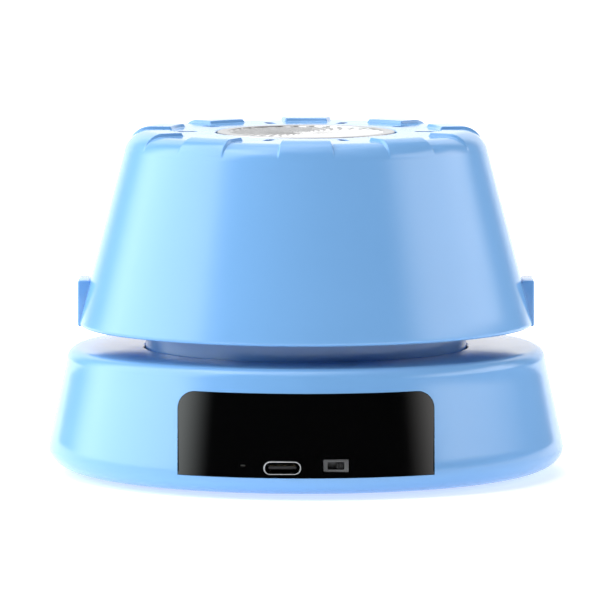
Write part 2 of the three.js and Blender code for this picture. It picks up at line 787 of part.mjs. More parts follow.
function motorCan() {
  return turned([[0, 0], [motorR - 0.5, 0], [motorR, 0.5], [motorR, motorH], [0, motorH]], ringSides);
}

function motorEndCap() {
  let body = turned([[0, 0], [3, 0], [3, 0.8], [motorR - 1.2, 0.8], [motorR - 0.4, 1.4],
    [motorR - 0.4, endCapT], [0, endCapT]], ringSides);
  for (const side of [-1, 1]) {
    const [low, high] = [side * terminalX - terminalT / 2, side * terminalX + terminalT / 2];
    body = body.add(block(low, high, -terminalW / 2, terminalW / 2, -terminalH, terminalH));
  }
  return body;
}

// ---------------------------------------------------------------- splash hood

function hoodOuter() {
  const slope = (hoodRimR - hoodTopR) / (hoodTopH - hoodRimH);
  const tilt = THREE.MathUtils.radToDeg(Math.atan(slope));
  const flatR = hoodTopR - hoodEdgeR * Math.tan(THREE.MathUtils.degToRad((90 - tilt) / 2));
  const rimZ = hoodRimZ + hoodRimEdgeR;
  return {
    flatR,
    outline: [
      [hoodRimR - hoodRimEdgeR, hoodRimZ],
      [hoodRimR - hoodRimEdgeR * 0.3, hoodRimZ + hoodRimEdgeR * 0.3], [hoodRimR - 0.1, rimZ],
      ...arc(flatR, hoodTopZ - hoodEdgeR, hoodEdgeR, tilt, 90),
    ],
  };
}

function hoodCavity() {
  const slope = (hoodRimR - hoodTopR) / (hoodTopH - hoodRimH);
  const ceilingZ = hoodTopZ - hoodTopT;
  const wall = hoodWall / Math.cos(Math.atan(slope));
  const innerAt = (z) => hoodTopR + slope * (hoodTopZ - z) - wall;
  const bevel = hoodEdgeR - hoodWall;
  return turned([
    [0, hoodRimZ - 1], [innerAt(hoodRimZ - 1), hoodRimZ - 1],
    [innerAt(ceilingZ - bevel), ceilingZ - bevel],
    [innerAt(ceilingZ) - bevel * 0.35, ceilingZ - bevel * 0.35],
    [innerAt(ceilingZ) - bevel, ceilingZ], [0, ceilingZ],
  ], shellSides);
}

function hoodPads(flatR) {
  const padInnerR = flatR - padFlat;
  const crownZ = hoodTopZ + padRise - padCornerR;
  const band = turned([
    [padInnerR, hoodTopZ - 1], [padInnerR, hoodTopZ], [padInnerR + padRise, hoodTopZ + padRise * 0.35],
    ...arc(flatR, crownZ, padCornerR, 90, 8),
    [flatR, crownZ - 1],
  ], shellSides, true);
  const half = THREE.MathUtils.degToRad(padSpan / 2);
  let sectors = null;
  for (let i = 0; i < padCount; i++) {
    const middle = -Math.PI / 2 + 2 * Math.PI * i / padCount;
    const shape = new THREE.Shape();
    shape.moveTo(0, 0);
    shape.lineTo(2 * baseR * Math.cos(middle - half), 2 * baseR * Math.sin(middle - half));
    shape.lineTo(2 * baseR * Math.cos(middle + half), 2 * baseR * Math.sin(middle + half));
    const sector = raised(shape, crownZ - 2, hoodTopZ + 2 * padRise);
    sectors = sectors ? sectors.add(sector) : sector;
  }
  return band.intersect(sectors);
}

function hoodSlots() {
  let slots = null;
  const middleR = (slotInnerR + slotOuterR) / 2;
  const shape = roundedRectangle(middleR, 0, slotOuterR - slotInnerR, slotW, slotW / 2 - 0.01);
  for (let i = 0; i < padCount; i++) {
    const turn = -90 + 360 * (i + 0.5) / padCount;
    const slot = raised(shape, hoodTopZ - hoodTopT - 1, hoodTopZ + 1, 1).rotate([0, 0, turn]);
    slots = slots ? slots.add(slot) : slot;
  }
  return slots;
}

function splashHood() {
  const { flatR, outline } = hoodOuter();
  let body = turned(closeToAxis(outline), shellSides);
  const lug = block(-lugR, lugR, -lugW / 2, lugW / 2, hoodRimZ, footStand + lugTopH);
  body = body.add(lug).add(hoodPads(flatR)).subtract(hoodCavity());
  body = body.add(ring(seatInnerR, seatInnerR + seatW, seatZ, hoodTopZ - hoodTopT / 2, shellSides));
  const drain = notchW / 2;
  for (const turn of [45, 135]) {
    const notch = block(-towerR, towerR, -drain, drain, seatZ - 1, seatZ + 2.5);
    body = body.subtract(notch.rotate([0, 0, turn]));
  }
  body = body.subtract(hoodSlots());
  return body.subtract(rod(wheelR + turnGap, seatZ, hoodTopZ + 1, shellSides));
}

// ---------------------------------------------------------------- assembly

function piece(parent, name, solid, material, x = 0, y = 0, z = 0) {
  const mesh = new THREE.Mesh(geometryOf(solid), material);
  mesh.name = name;
  mesh.position.set(x, y, z);
  parent.add(mesh);
  return mesh;
}

function addBase(group) {
  piece(group, 'base_housing', baseHousing(), finishes.bluePlastic);
  piece(group, 'port_panel', portPanel(), finishes.blackGloss);
  piece(group, 'bottom_cover', bottomCover(), finishes.bluePlastic);
  footAngles.forEach((angle, i) => {
    piece(group, `rubber_foot_${i + 1}`, rubberFoot(), finishes.rubber, ...polar(footRing, angle));
  });
  const coverSeatZ = footStand + screwStand + coverHeadT;
  coverScrewAngles.forEach((angle, i) => {
    const [x, y] = polar(coverScrewRing, angle);
    const screw = screwUp(coverScrewL, coverHeadT);
    piece(group, `cover_screw_${i + 1}`, screw, finishes.steel, x, y, coverSeatZ);
  });
}

function addElectrics(group) {
  piece(group, 'ballast_plate', ballastPlate(), finishes.steel);
  piece(group, 'battery_cell', batteryCell(), finishes.cellWrap, 0, cellY, cellZ);
  piece(group, 'battery_cradle', batteryCradle(), finishes.blackMatt, 0, cellY, ledgeZ);
  piece(group, 'control_board', controlBoard(), finishes.board);
  const partsZ = boardTopZ + gap;
  piece(group, 'driver_chip', driverChip(), finishes.blackMatt, 0, boardBackY - chipInset, partsZ);
  const socketY = boardBackY - boardScrewInset;
  piece(group, 'battery_socket', leadSocket(), finishes.nylon, -socketX, socketY, partsZ);
  piece(group, 'motor_socket', leadSocket(), finishes.nylon, socketX, socketY, partsZ);
  for (const [i, side] of [-1, 1].entries()) {
    const screw = screwUp(boardScrewL, smallHeadT).rotate([180, 0, 0]);
    piece(group, `board_screw_${i + 1}`, screw, finishes.steel,
      side * boardScrewX, boardScrewY, partsZ);
  }
  piece(group, 'usb_shell', usbShell(), finishes.steel, usbX, portFaceY, footStand + usbH0);
  piece(group, 'usb_tongue', usbTongue(), finishes.blackMatt, usbX, portFaceY, footStand + usbH0);
  piece(group, 'switch_frame', switchFrame(), finishes.blackMatt,
    switchX, portFaceY, footStand + switchH0);
  piece(group, 'status_led', statusLed(), finishes.diffuser,
    ledX, -Math.sqrt(portFaceR ** 2 - ledX ** 2), footStand + ledH0);
}

function addLeads(group) {
  const socketY = boardBackY - 2;
  const socketZ = boardTopZ + gap + 1.75;
  const cellEndX = -cellL / 2 - gap;
  piece(group, 'battery_lead', lead([
    [cellEndX, cellY, 17.5], [-35.2, 23, 17.4], [-37.2, 16, 13], [-36.4, 0, 10], [-32.5, -18, 9.2],
    [-22, -32, 9], [-13, -35.2, 8.2],
    [-socketX, socketY + 0.6, socketZ], [-socketX, socketY - 0.5, socketZ],
  ]), finishes.redWire);
  const joinX = terminalX + terminalT / 2 + gap;
  const terminalZ = endCapZ - 0.4;
  piece(group, 'motor_lead', lead([
    [joinX, -centreDistance, terminalZ], [10, -centreDistance - 0.6, terminalZ],
    [13.4, -centreDistance - 4, 8.8], [13, socketY + 6.5, 8.4],
    [socketX, socketY + 0.6, socketZ], [socketX, socketY - 0.5, socketZ],
  ]), finishes.redWire);
}

function addTower(group) {
  piece(group, 'motor_tower', motorTower(), finishes.bluePlastic);
  piece(group, 'tower_clamp_ring', clampRing(), finishes.greyPlastic, 0, 0, clampZ);
  towerScrewAngles.forEach((angle, i) => {
    const [x, y] = polar(towerScrewRing, angle);
    piece(group, `tower_screw_${i + 1}`, screwUp(towerScrewL), finishes.steel, x, y, clampZ - gap);
  });
  piece(group, 'gear_plate', gearPlate(), finishes.greyPlastic);
  pillarAngles.forEach((angle, i) => {
    const [x, y] = polar(pillarRing, angle);
    const screw = screwUp(plateScrewL);
    piece(group, `gear_plate_screw_${i + 1}`, screw, finishes.steel, x, y, plateZ - gap);
  });
  piece(group, 'motor_gearbox', motorGearbox(), finishes.steel, 0, -centreDistance, gearboxZ);
  piece(group, 'motor_can', motorCan(), finishes.steel, 0, -centreDistance, motorZ);
  piece(group, 'motor_end_cap', motorEndCap(), finishes.nylon, 0, -centreDistance, endCapZ);
  for (const [i, side] of [-1, 1].entries()) {
    const screw = screwUp(motorScrewL, smallHeadT).rotate([180, 0, 0]);
    piece(group, `motor_screw_${i + 1}`, screw, finishes.steel,
      side * motorScrewSpread, -centreDistance, plateTopZ - smallHeadT);
  }
  piece(group, 'upper_bearing_outer', bearingOuter(), finishes.bearingSteel, 0, 0, upperBearingZ);
  piece(group, 'lower_bearing_outer', bearingOuter(), finishes.bearingSteel, 0, 0, lowerBearingZ);
  piece(group, 'spindle_seal', ring(shaftR + 2 * gap, bearingR, 0, sealT), finishes.rubber,
    0, 0, sealTopZ - sealT);
}

function addSpindle(group) {
  piece(group, 'spindle_shaft', spindleShaft(), finishes.steel);
  piece(group, 'upper_bearing_inner', bearingInner(), finishes.bearingSteel, 0, 0, upperBearingZ);
  piece(group, 'lower_bearing_inner', bearingInner(), finishes.bearingSteel, 0, 0, lowerBearingZ);
  piece(group, 'retaining_clip', retainingClip(), finishes.steel, 0, 0, clipZ);
  piece(group, 'drive_gear', driveGear(), finishes.nylon, 0, 0, gearZ);
  const slingerZ = towerTopZ + 2 * gap;
  const hubZ = slingerZ + 1 + gap;
  piece(group, 'slinger', slinger(), finishes.rubber, 0, 0, slingerZ);
  piece(group, 'head_hub', headHub(wheelZ - gap - hubZ), finishes.brass, 0, 0, hubZ);
  piece(group, 'wheel_head', wheelHead(), finishes.aluminium, 0, 0, wheelZ);
}

function addMotorRotor(group) {
  const shaftZ = plateZ - gap - shaftReach;
  const shaft = rod(outputShaftR, 0, gearZ + pinionT + 0.3 - shaftZ, ringSides);
  piece(group, 'motor_shaft', shaft, finishes.steel, 0, -centreDistance, shaftZ);
  piece(group, 'motor_pinion', motorPinion(), finishes.brass, 0, -centreDistance, gearZ - 0.2);
}

function potteryWheel() {
  const wheel = new THREE.Group();
  const groups = {};
  for (const name of ['base', 'spindle', 'motorRotor', 'switchSlider', 'hood']) {
    groups[name] = new THREE.Group();
    wheel.add(groups[name]);
  }
  addBase(groups.base);
  addElectrics(groups.base);
  addLeads(groups.base);
  addTower(groups.base);
  addSpindle(groups.spindle);
  addMotorRotor(groups.motorRotor);
  piece(groups.switchSlider, 'switch_knob', switchKnob(), finishes.blackMatt,
    knobX, portFaceY, footStand + switchH0);
  piece(groups.hood, 'splash_hood', splashHood(), finishes.bluePlastic);
  return wheel;
}

const wheel = potteryWheel();

export default wheel;
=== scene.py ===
import json
import math

import bmesh
import bpy
from mathutils import Matrix, Vector


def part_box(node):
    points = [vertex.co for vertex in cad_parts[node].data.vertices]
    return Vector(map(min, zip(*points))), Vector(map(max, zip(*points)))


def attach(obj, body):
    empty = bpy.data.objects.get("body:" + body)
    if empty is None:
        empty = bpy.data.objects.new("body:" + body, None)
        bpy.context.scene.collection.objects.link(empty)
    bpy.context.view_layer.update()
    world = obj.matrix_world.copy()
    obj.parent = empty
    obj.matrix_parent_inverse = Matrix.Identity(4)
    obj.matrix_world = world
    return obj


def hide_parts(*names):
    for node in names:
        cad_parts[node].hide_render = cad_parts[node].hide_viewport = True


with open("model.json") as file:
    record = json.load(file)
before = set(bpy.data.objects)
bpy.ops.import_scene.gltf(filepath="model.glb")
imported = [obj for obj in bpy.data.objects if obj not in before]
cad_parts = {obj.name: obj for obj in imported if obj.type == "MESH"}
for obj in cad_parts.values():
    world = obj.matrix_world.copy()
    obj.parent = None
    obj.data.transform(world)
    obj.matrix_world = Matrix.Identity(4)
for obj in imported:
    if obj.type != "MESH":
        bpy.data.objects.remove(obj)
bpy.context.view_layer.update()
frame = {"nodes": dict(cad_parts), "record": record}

mm = 0.001  # meshes are drawn in millimetres and scaled once
scene = bpy.context.scene
materials = {}
boxes = {}
inset = 0.02  # how far a skin stands inside the CAD box


def boxOf(node):
    if node not in boxes:
        low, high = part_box(node)
        boxes[node] = (Vector(low) / mm, Vector(high) / mm)
    return boxes[node]


def centreOf(node):
    low, high = boxOf(node)
    return (low + high) / 2


# camera, room and light

camera = dict(distance=2000, height=235.0, pitch=0.097, lens=484.2)


def addCamera():
    data = bpy.data.cameras.new("camera")
    data.lens = camera["lens"]
    data.clip_start = 0.05
    data.clip_end = 60
    rig = bpy.data.objects.new("camera", data)
    rig.location = (0, -camera["distance"] * mm, camera["height"] * mm)
    rig.rotation_euler = (math.pi / 2 - camera["pitch"], 0, 0)
    scene.collection.objects.link(rig)
    scene.camera = rig


class Nodes:
    # a node tree with short calls for the nodes used here
    def __init__(self, tree):
        self.tree = tree
        self.tree.nodes.clear()

    def add(self, kind, **settings):
        node = self.tree.nodes.new(kind)
        for name, value in settings.items():
            setattr(node, name, value)
        return node

    def link(self, source, target):
        self.tree.links.new(source, target)

    def put(self, socket, value):
        if isinstance(value, bpy.types.NodeSocket):
            self.link(value, socket)
        else:
            socket.default_value = value

    def maths(self, operation, a, b=0.0):
        node = self.add("ShaderNodeMath", operation=operation)
        self.put(node.inputs[0], a)
        self.put(node.inputs[1], b)
        return node.outputs[0]

    def ramp(self, value, start, end, low=0.0, high=1.0, smooth=True):
        node = self.add("ShaderNodeMapRange")
        node.interpolation_type = "SMOOTHSTEP" if smooth else "LINEAR"
        self.put(node.inputs["Value"], value)
        for name, number in (("From Min", start), ("From Max", end), ("To Min", low), ("To Max", high)):
            node.inputs[name].default_value = number
        return node.outputs["Result"]


softRoom = dict(
    ambient=dict(strength=0.16, azimuth=(40, 70)),
    leftWall=dict(strength=3.3, azimuth=(44, 66, 112, 136), elevation=(-8, 2, 62, 80),
                  tint=(0.93, 1.0, 1.0)),
    rightStrip=dict(strength=3.0, azimuth=(46, 74, 114, 134), elevation=(5, 14, 27, 38),
                    tint=(1.0, 0.98, 0.96)),
    ceiling=dict(strength=3.2, elevation=(52, 76), right=0.1),
    backdrop=dict(strength=1.12, azimuth=(140, 158)),
)


def addRoom():
    world = bpy.data.worlds.new("softRoom")
    scene.world = world
    world.use_nodes = True
    n = Nodes(world.node_tree)
    out = n.add("ShaderNodeOutputWorld")
    direction = n.add("ShaderNodeTexCoord").outputs["Generated"]
    axes = n.add("ShaderNodeSeparateXYZ")
    n.link(direction, axes.inputs[0])
    x, y, z = axes.outputs
    degrees = 180 / math.pi
    elevation = n.maths("MULTIPLY", n.maths("ARCSINE", z), degrees)
    turn = n.maths("ARCTAN2", n.maths("ABSOLUTE", x), n.maths("MULTIPLY", y, -1.0))
    azimuth = n.maths("MULTIPLY", turn, degrees)
    onLeft = n.maths("LESS_THAN", x, 0.0)
    onRight = n.maths("SUBTRACT", 1.0, onLeft)

    def band(value, stops):
        rise = n.ramp(value, stops[0], stops[1])
        return n.maths("MULTIPLY", rise, n.ramp(value, stops[2], stops[3], 1.0, 0.0))

    def glow(strength, tint):
        node = n.add("ShaderNodeVectorMath", operation="SCALE")
        node.inputs[0].default_value = tint
        n.put(node.inputs["Scale"], strength)
        return node.outputs[0]

    glows = []
    for name, side in (("leftWall", onLeft), ("rightStrip", onRight)):
        part = softRoom[name]
        shape = n.maths("MULTIPLY", band(azimuth, part["azimuth"]), band(elevation, part["elevation"]))
        shape = n.maths("MULTIPLY", shape, side)
        glows.append(glow(n.maths("MULTIPLY", shape, part["strength"]), part["tint"]))
    top = softRoom["ceiling"]
    shape = n.ramp(elevation, *top["elevation"])
    shape = n.maths("MULTIPLY", shape, n.ramp(x, -0.5, 0.5, 1.0, top["right"]))
    glows.append(glow(n.maths("MULTIPLY", shape, top["strength"]), (1.0, 1.0, 1.0)))
    rear = softRoom["backdrop"]
    shape = n.ramp(azimuth, *rear["azimuth"])
    glows.append(glow(n.maths("MULTIPLY", shape, rear["strength"]), (1.0, 1.0, 1.0)))
    fill = softRoom["ambient"]
    shape = n.ramp(azimuth, *fill["azimuth"])
    glows.append(glow(n.maths("MULTIPLY", shape, fill["strength"]), (1.0, 1.0, 1.0)))
    total = glows[0]
    for part in glows[1:]:
        added = n.add("ShaderNodeVectorMath", operation="ADD")
        n.link(total, added.inputs[0])
        n.link(part, added.inputs[1])
        total = added.outputs[0]
    lit = n.add("ShaderNodeBackground")
    n.link(total, lit.inputs["Color"])
    seen = n.add("ShaderNodeBackground")
    seen.inputs["Color"].default_value = (1.0, 1.0, 1.0, 1)
    mix = n.add("ShaderNodeMixShader")
    n.link(n.add("ShaderNodeLightPath").outputs["Is Camera Ray"], mix.inputs[0])
    n.link(lit.outputs[0], mix.inputs[1])
    n.link(seen.outputs[0], mix.inputs[2])
    n.link(mix.outputs[0], out.inputs["Surface"])
    scene.view_settings.view_transform = "Standard"


def addFloor():
    mesh = bpy.data.meshes.new("floor")
    half = 6.0
    corners = [(-half, -half, 0), (half, -half, 0), (half, half, 0), (-half, half, 0)]
    mesh.from_pydata(corners, [], [(0, 1, 2, 3)])
    floor = bpy.data.objects.new("floor", mesh)
    scene.collection.objects.link(floor)
    floor.data.materials.append(materials["floorPaper"])


# materials

def newMaterial(name, **settings):
    material = bpy.data.materials.new(name)
    material.use_nodes = True
    n = Nodes(material.node_tree)
    out = n.add("ShaderNodeOutputMaterial")
    shader = n.add("ShaderNodeBsdfPrincipled")
    n.link(shader.outputs[0], out.inputs[0])
    for socket, value in settings.items():
        shader.inputs[socket.replace("_", " ")].default_value = value
    materials[name] = material
    return n, shader


def place(n):
    return n.add("ShaderNodeTexCoord").outputs["Object"]


def noise(n, scale, detail=2.0, roughness=0.5, stretch=None):
    coords = place(n)
    if stretch:
        mapping = n.add("ShaderNodeMapping")
        mapping.inputs["Scale"].default_value = stretch
        n.link(coords, mapping.inputs["Vector"])
        coords = mapping.outputs[0]
    node = n.add("ShaderNodeTexNoise")
    n.link(coords, node.inputs["Vector"])
    node.inputs["Scale"].default_value = scale
    node.inputs["Detail"].default_value = detail
    node.inputs["Roughness"].default_value = roughness
    return node.outputs["Fac"]


def tone(n, shader, value, dark, light):
    mix = n.add("ShaderNodeMix", data_type="RGBA")
    n.link(value, mix.inputs["Factor"])
    mix.inputs[6].default_value = (*dark, 1)
    mix.inputs[7].default_value = (*light, 1)
    n.link(mix.outputs[2], shader.inputs["Base Color"])


def relief(n, shader, value, strength, distance):
    bump = n.add("ShaderNodeBump")
    bump.inputs["Strength"].default_value = strength
    bump.inputs["Distance"].default_value = distance
    n.link(value, bump.inputs["Height"])
    n.link(bump.outputs[0], shader.inputs["Normal"])


def sheenOf(n, shader, value, low, high):
    n.link(n.ramp(value, 0.3, 0.7, low, high, smooth=False), shader.inputs["Roughness"])


bluePlastic = dict(dark=(0.196, 0.432, 0.800), light=(0.214, 0.456, 0.836), rough=(0.10, 0.15))


def makeBluePlastic():
    n, shader = newMaterial("bluePlastic", IOR=1.49)
    tone(n, shader, noise(n, 35, 3), bluePlastic["dark"], bluePlastic["light"])
    sheenOf(n, shader, noise(n, 160, 4), *bluePlastic["rough"])
    relief(n, shader, noise(n, 420, 2), 0.04, 0.0001)  # faint orange peel


def makeBlackGloss():
    n, shader = newMaterial("blackGloss", IOR=1.52)
    tone(n, shader, noise(n, 60, 2), (0.0012, 0.0012, 0.0014), (0.002, 0.002, 0.0022))
    sheenOf(n, shader, noise(n, 240, 4), 0.03, 0.06)


def makeBlackMatt():
    n, shader = newMaterial("blackMatt")
    grain = noise(n, 2600, 3)
    tone(n, shader, grain, (0.008, 0.008, 0.009), (0.018, 0.018, 0.02))
    sheenOf(n, shader, noise(n, 500, 2), 0.42, 0.6)
    relief(n, shader, grain, 0.25, 0.00005)


def makePlainPlastic(name, dark, light, low, high, glow=0.0):
    n, shader = newMaterial(name, Emission_Color=(1, 1, 1, 1), Emission_Strength=glow)
    grain = noise(n, 1400, 3)
    tone(n, shader, grain, dark, light)
    sheenOf(n, shader, noise(n, 300, 2), low, high)
    relief(n, shader, grain, 0.12, 0.00004)


def makeMetal(name, dark, light, low, high, lines=(900, 900, 900)):
    n, shader = newMaterial(name, Metallic=1.0)
    streak = noise(n, 1.0, 4, 0.6, stretch=lines)
    tone(n, shader, streak, dark, light)
    sheenOf(n, shader, streak, low, high)
    relief(n, shader, streak, 0.08, 0.00002)


def makeRubber():
    n, shader = newMaterial("rubber")
    grain = noise(n, 1800, 4)
    tone(n, shader, grain, (0.014, 0.014, 0.015), (0.03, 0.03, 0.032))
    sheenOf(n, shader, noise(n, 200, 3), 0.62, 0.85)
    relief(n, shader, grain, 0.35, 0.00008)


def makeBoard():
    n, shader = newMaterial("solderMask", Coat_Weight=0.4)
    weave = n.add("ShaderNodeTexBrick")
    n.link(place(n), weave.inputs["Vector"])
    weave.inputs["Scale"].default_value = 620
    weave.inputs["Color1"].default_value = (0.006, 0.10, 0.035, 1)
    weave.inputs["Color2"].default_value = (0.008, 0.13, 0.045, 1)
    weave.inputs["Mortar"].default_value = (0.02, 0.2, 0.08, 1)
    n.link(weave.outputs["Color"], shader.inputs["Base Color"])
    sheenOf(n, shader, noise(n, 300, 2), 0.25, 0.4)


def makeMaterials():
    makeBluePlastic()
    makeBlackGloss()
    makeBlackMatt()
    makeRubber()
    makeBoard()
    makePlainPlastic("greyPlastic", (0.24, 0.26, 0.28), (0.3, 0.32, 0.34), 0.35, 0.5)
    makePlainPlastic("nylon", (0.74, 0.72, 0.64), (0.84, 0.82, 0.75), 0.35, 0.5)
    makePlainPlastic("cellWrap", (0.03, 0.17, 0.3), (0.05, 0.22, 0.36), 0.22, 0.34)
    makePlainPlastic("diffuser", (0.10, 0.105, 0.10), (0.14, 0.145, 0.14), 0.25, 0.35)
    makePlainPlastic("redWire", (0.4, 0.015, 0.01), (0.5, 0.025, 0.02), 0.4, 0.55)
    makePlainPlastic("floorPaper", (0.80, 0.80, 0.81), (0.83, 0.83, 0.84), 0.7, 0.8, glow=0.5)
    makePlainPlastic("switchGrey", (0.07, 0.07, 0.072), (0.1, 0.1, 0.104), 0.3, 0.45)
    makeMetal("wheelMetal", (0.78, 0.78, 0.78), (0.88, 0.88, 0.88), 0.14, 0.24)
    # darker, rougher metal for the vane steps: painted shade in the grooves between the vanes
    makeMetal("wheelStepShade", (0.32, 0.32, 0.325), (0.40, 0.40, 0.405), 0.3, 0.45)
    makeMetal("wheelRing", (0.44, 0.44, 0.45), (0.56, 0.56, 0.57), 0.3, 0.42)
    makeMetal("steel", (0.48, 0.48, 0.5), (0.6, 0.6, 0.62), 0.24, 0.4)
    makeMetal("polishedSteel", (0.42, 0.43, 0.44), (0.52, 0.53, 0.54), 0.12, 0.22)
    makeMetal("brass", (0.58, 0.4, 0.13), (0.72, 0.52, 0.2), 0.2, 0.34)
    makeMetal("gold", (0.78, 0.55, 0.2), (0.86, 0.64, 0.26), 0.15, 0.25)


# mesh tools

def arc(centreR, centreZ, radius, start, end, steps):
    points = []
    for i in range(steps + 1):
        angle = math.radians(start + (end - start) * i / steps)
        points.append((centreR + radius * math.cos(angle), centreZ + radius * math.sin(angle)))
    return points


def curveBetween(a, corner, b, steps):
    points = []
    for i in range(1, steps):
        t = i / steps
        blend = ((1 - t) ** 2 * a[k] + 2 * t * (1 - t) * corner[k] + t * t * b[k] for k in (0, 1))
        points.append(tuple(blend))
    return points


def toObject(bm, name, sharpAngle=32):
    bmesh.ops.remove_doubles(bm, verts=bm.verts, dist=1e-4)
    bmesh.ops.recalc_face_normals(bm, faces=bm.faces)
    limit = math.radians(sharpAngle)
    for face in bm.faces:
        face.smooth = True
    for edge in bm.edges:
        edge.smooth = len(edge.link_faces) != 2 or edge.calc_face_angle(0) < limit
    mesh = bpy.data.meshes.new(name)
    bm.to_mesh(mesh)
    bm.free()
    piece = bpy.data.objects.new(name, mesh)
    scene.collection.objects.link(piece)
    return piece


def evenAngles(sides):
    return [2 * math.pi * i / sides for i in range(sides)]


def revolve(outline, angles, shift=None):
    # a closed outline of (radius, z) turned about Z; shift may move each point by its own rule
    bm = bmesh.new()
    rings = []
    for r, z in outline:
        if r < 1e-6:
            rings.append([bm.verts.new((0, 0, z))])
            continue
        ring = []
        for angle in angles:
            rr, zz = shift(r, z, angle) if shift else (r, z)
            ring.append(bm.verts.new((rr * math.sin(angle), -rr * math.cos(angle), zz)))
        rings.append(ring)
    count = len(angles)
    for k in range(len(rings)):
        a, b = rings[k], rings[(k + 1) % len(rings)]
        if len(a) == 1 and len(b) == 1:
            continue
        for i in range(count):
            j = (i + 1) % count
            if len(a) == 1:
                bm.faces.new((a[0], b[i], b[j]))
            elif len(b) == 1:
                bm.faces.new((a[i], b[0], a[j]))
            else:
                bm.faces.new((a[i], b[i], b[j], a[j]))
    return bm


def turned(name, outline, sides=96, sharpAngle=32, x=0.0, y=0.0):
    bm = revolve(outline, evenAngles(sides))
    bmesh.ops.translate(bm, verts=bm.verts, vec=(x, y, 0))
    return toObject(bm, name, sharpAngle)


def extruded(name, outline, low, high, axis="y", sharpAngle=32):
    # a flat outline pushed along an axis: (x, z) along y, or (x, y) along z
    bm = bmesh.new()
    layers = []
    for level in (low, high):
        layers.append([bm.verts.new((a, level, b) if axis == "y" else (a, b, level)) for a, b in outline])
    bm.faces.new(layers[0])
    bm.faces.new(list(reversed(layers[1])))
    count = len(outline)
    for i in range(count):
        j = (i + 1) % count
        bm.faces.new((layers[0][i], layers[1][i], layers[1][j], layers[0][j]))
    return toObject(bm, name, sharpAngle)


def roundedBox(width, height, radius, x=0.0, z=0.0, steps=6):
    points = []
    for cx, cz, start in ((1, 1, 0), (-1, 1, 90), (-1, -1, 180), (1, -1, 270)):
        centreX = x + cx * (width / 2 - radius)
        centreZ = z + cz * (height / 2 - radius)
        points += arc(centreX, centreZ, radius, start, start + 90, steps)
    return points


def settle(piece):
    graph = bpy.context.evaluated_depsgraph_get()
    mesh = bpy.data.meshes.new_from_object(piece.evaluated_get(graph))
    piece.modifiers.clear()
    piece.data = mesh


def combine(piece, tools, operation="DIFFERENCE", sharpAngle=32):
    for tool in tools:
        step = piece.modifiers.new("cut", "BOOLEAN")
        step.operation = operation
        step.solver = "EXACT"
        step.object = tool
    settle(piece)
    for tool in tools:
        bpy.data.objects.remove(tool)
    bm = bmesh.new()
    bm.from_mesh(piece.data)
    limit = math.radians(sharpAngle)
    for face in bm.faces:
        face.smooth = True
    for edge in bm.edges:
        edge.smooth = len(edge.link_faces) != 2 or edge.calc_face_angle(0) < limit
    bm.to_mesh(piece.data)
    bm.free()


def soften(piece, width, segments=2, angle=40):
    step = piece.modifiers.new("edge", "BEVEL")
    step.width = width
    step.segments = segments
    step.limit_method = "ANGLE"
    step.angle_limit = math.radians(angle)
    settle(piece)


def joinInto(piece, others):
    bm = bmesh.new()
    bm.from_mesh(piece.data)
    for other in others:
        bm.from_mesh(other.data)
        bpy.data.objects.remove(other)
    bm.to_mesh(piece.data)
    bm.free()


def wallNormals(piece, outline):
    # exact normals where the skin is the turned outline, so cuts in it don't dent the gloss
    slopes = []
    for (r0, z0), (r1, z1) in zip(outline, outline[1:]):
        slopes.append(Vector((z1 - z0, 0, -(r1 - r0))).normalized())
    knots = [slopes[0]]
    knots += [((a + b) / 2).normalized() for a, b in zip(slopes, slopes[1:])]
    knots.append(slopes[-1])
    mesh = piece.data
    normals = [Vector(c.vector) for c in mesh.corner_normals]
    for polygon in mesh.polygons:
        for index in polygon.loop_indices:
            x, y, z = mesh.vertices[mesh.loops[index].vertex_index].co
            radius = math.hypot(x, y)
            for k, ((r0, z0), (r1, z1)) in enumerate(zip(outline, outline[1:])):
                if min(z0, z1) - 1e-3 <= z <= max(z0, z1) + 1e-3 and z0 != z1:
                    t = min(1.0, max(0.0, (z - z0) / (z1 - z0)))
                    if abs(r0 + (r1 - r0) * t - radius) < 0.05:
                        flat = knots[k].lerp(knots[k + 1], t)
                        exact = Vector((flat.x * x / radius, flat.x * y / radius, flat.z)).normalized()
                        if exact.dot(polygon.normal) > 0.9:
                            normals[index] = exact
                        break
    mesh.normals_split_custom_set(normals)


def deliver(piece, body, nodes, material):
    # scales a piece to metres, gives it its material, hangs it under its body and hides the CAD nodes it
    # stands for
    piece.data.transform(Matrix.Scale(mm, 4))
    piece.data.materials.clear()
    piece.data.materials.append(materials[material])
    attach(piece, body)
    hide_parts(*nodes)


# base

housing = dict(footFlare=8.34, bellyH=5.82, taper=4.57, edge=3.0, wall=2.2, mouthR=39.55, lipR=49.0,
               coverSeam=0.25, sides=288)


def housingSkin():
    low, high = boxOf("base_housing")
    radius = high.x - inset
    under = radius - housing["footFlare"]
    edge = housing["edge"]
    points = []
    for i in range(15):
        angle = math.pi / 2 * i / 14
        points.append((under + housing["footFlare"] * math.sin(angle),
                       low.z + housing["bellyH"] * (1 - math.cos(angle))))
    shoulder = radius - housing["taper"] - edge
    wallTop = (shoulder + edge, high.z - edge)
    last = points[-1]
    for i in range(1, 8):
        t = i / 8
        points.append((last[0] + (wallTop[0] - last[0]) * t, last[1] + (wallTop[1] - last[1]) * t))
    return points + arc(shoulder, high.z - edge, edge, 0, 90, 12)


panel = dict(cornerR=4.1, seam=0.1, usbRoom=0.16, frameRoom=0.12)


def panelOutline(grow):
    low, high = boxOf("port_panel")
    left, right, bottom, top = low.x - grow, high.x + grow, low.z - grow, high.z + grow
    radius = panel["cornerR"] + grow
    return ([(left, bottom), (right, bottom)] + arc(right - radius, top - radius, radius, 0, 90, 12)
            + arc(left + radius, top - radius, radius, 90, 180, 12))


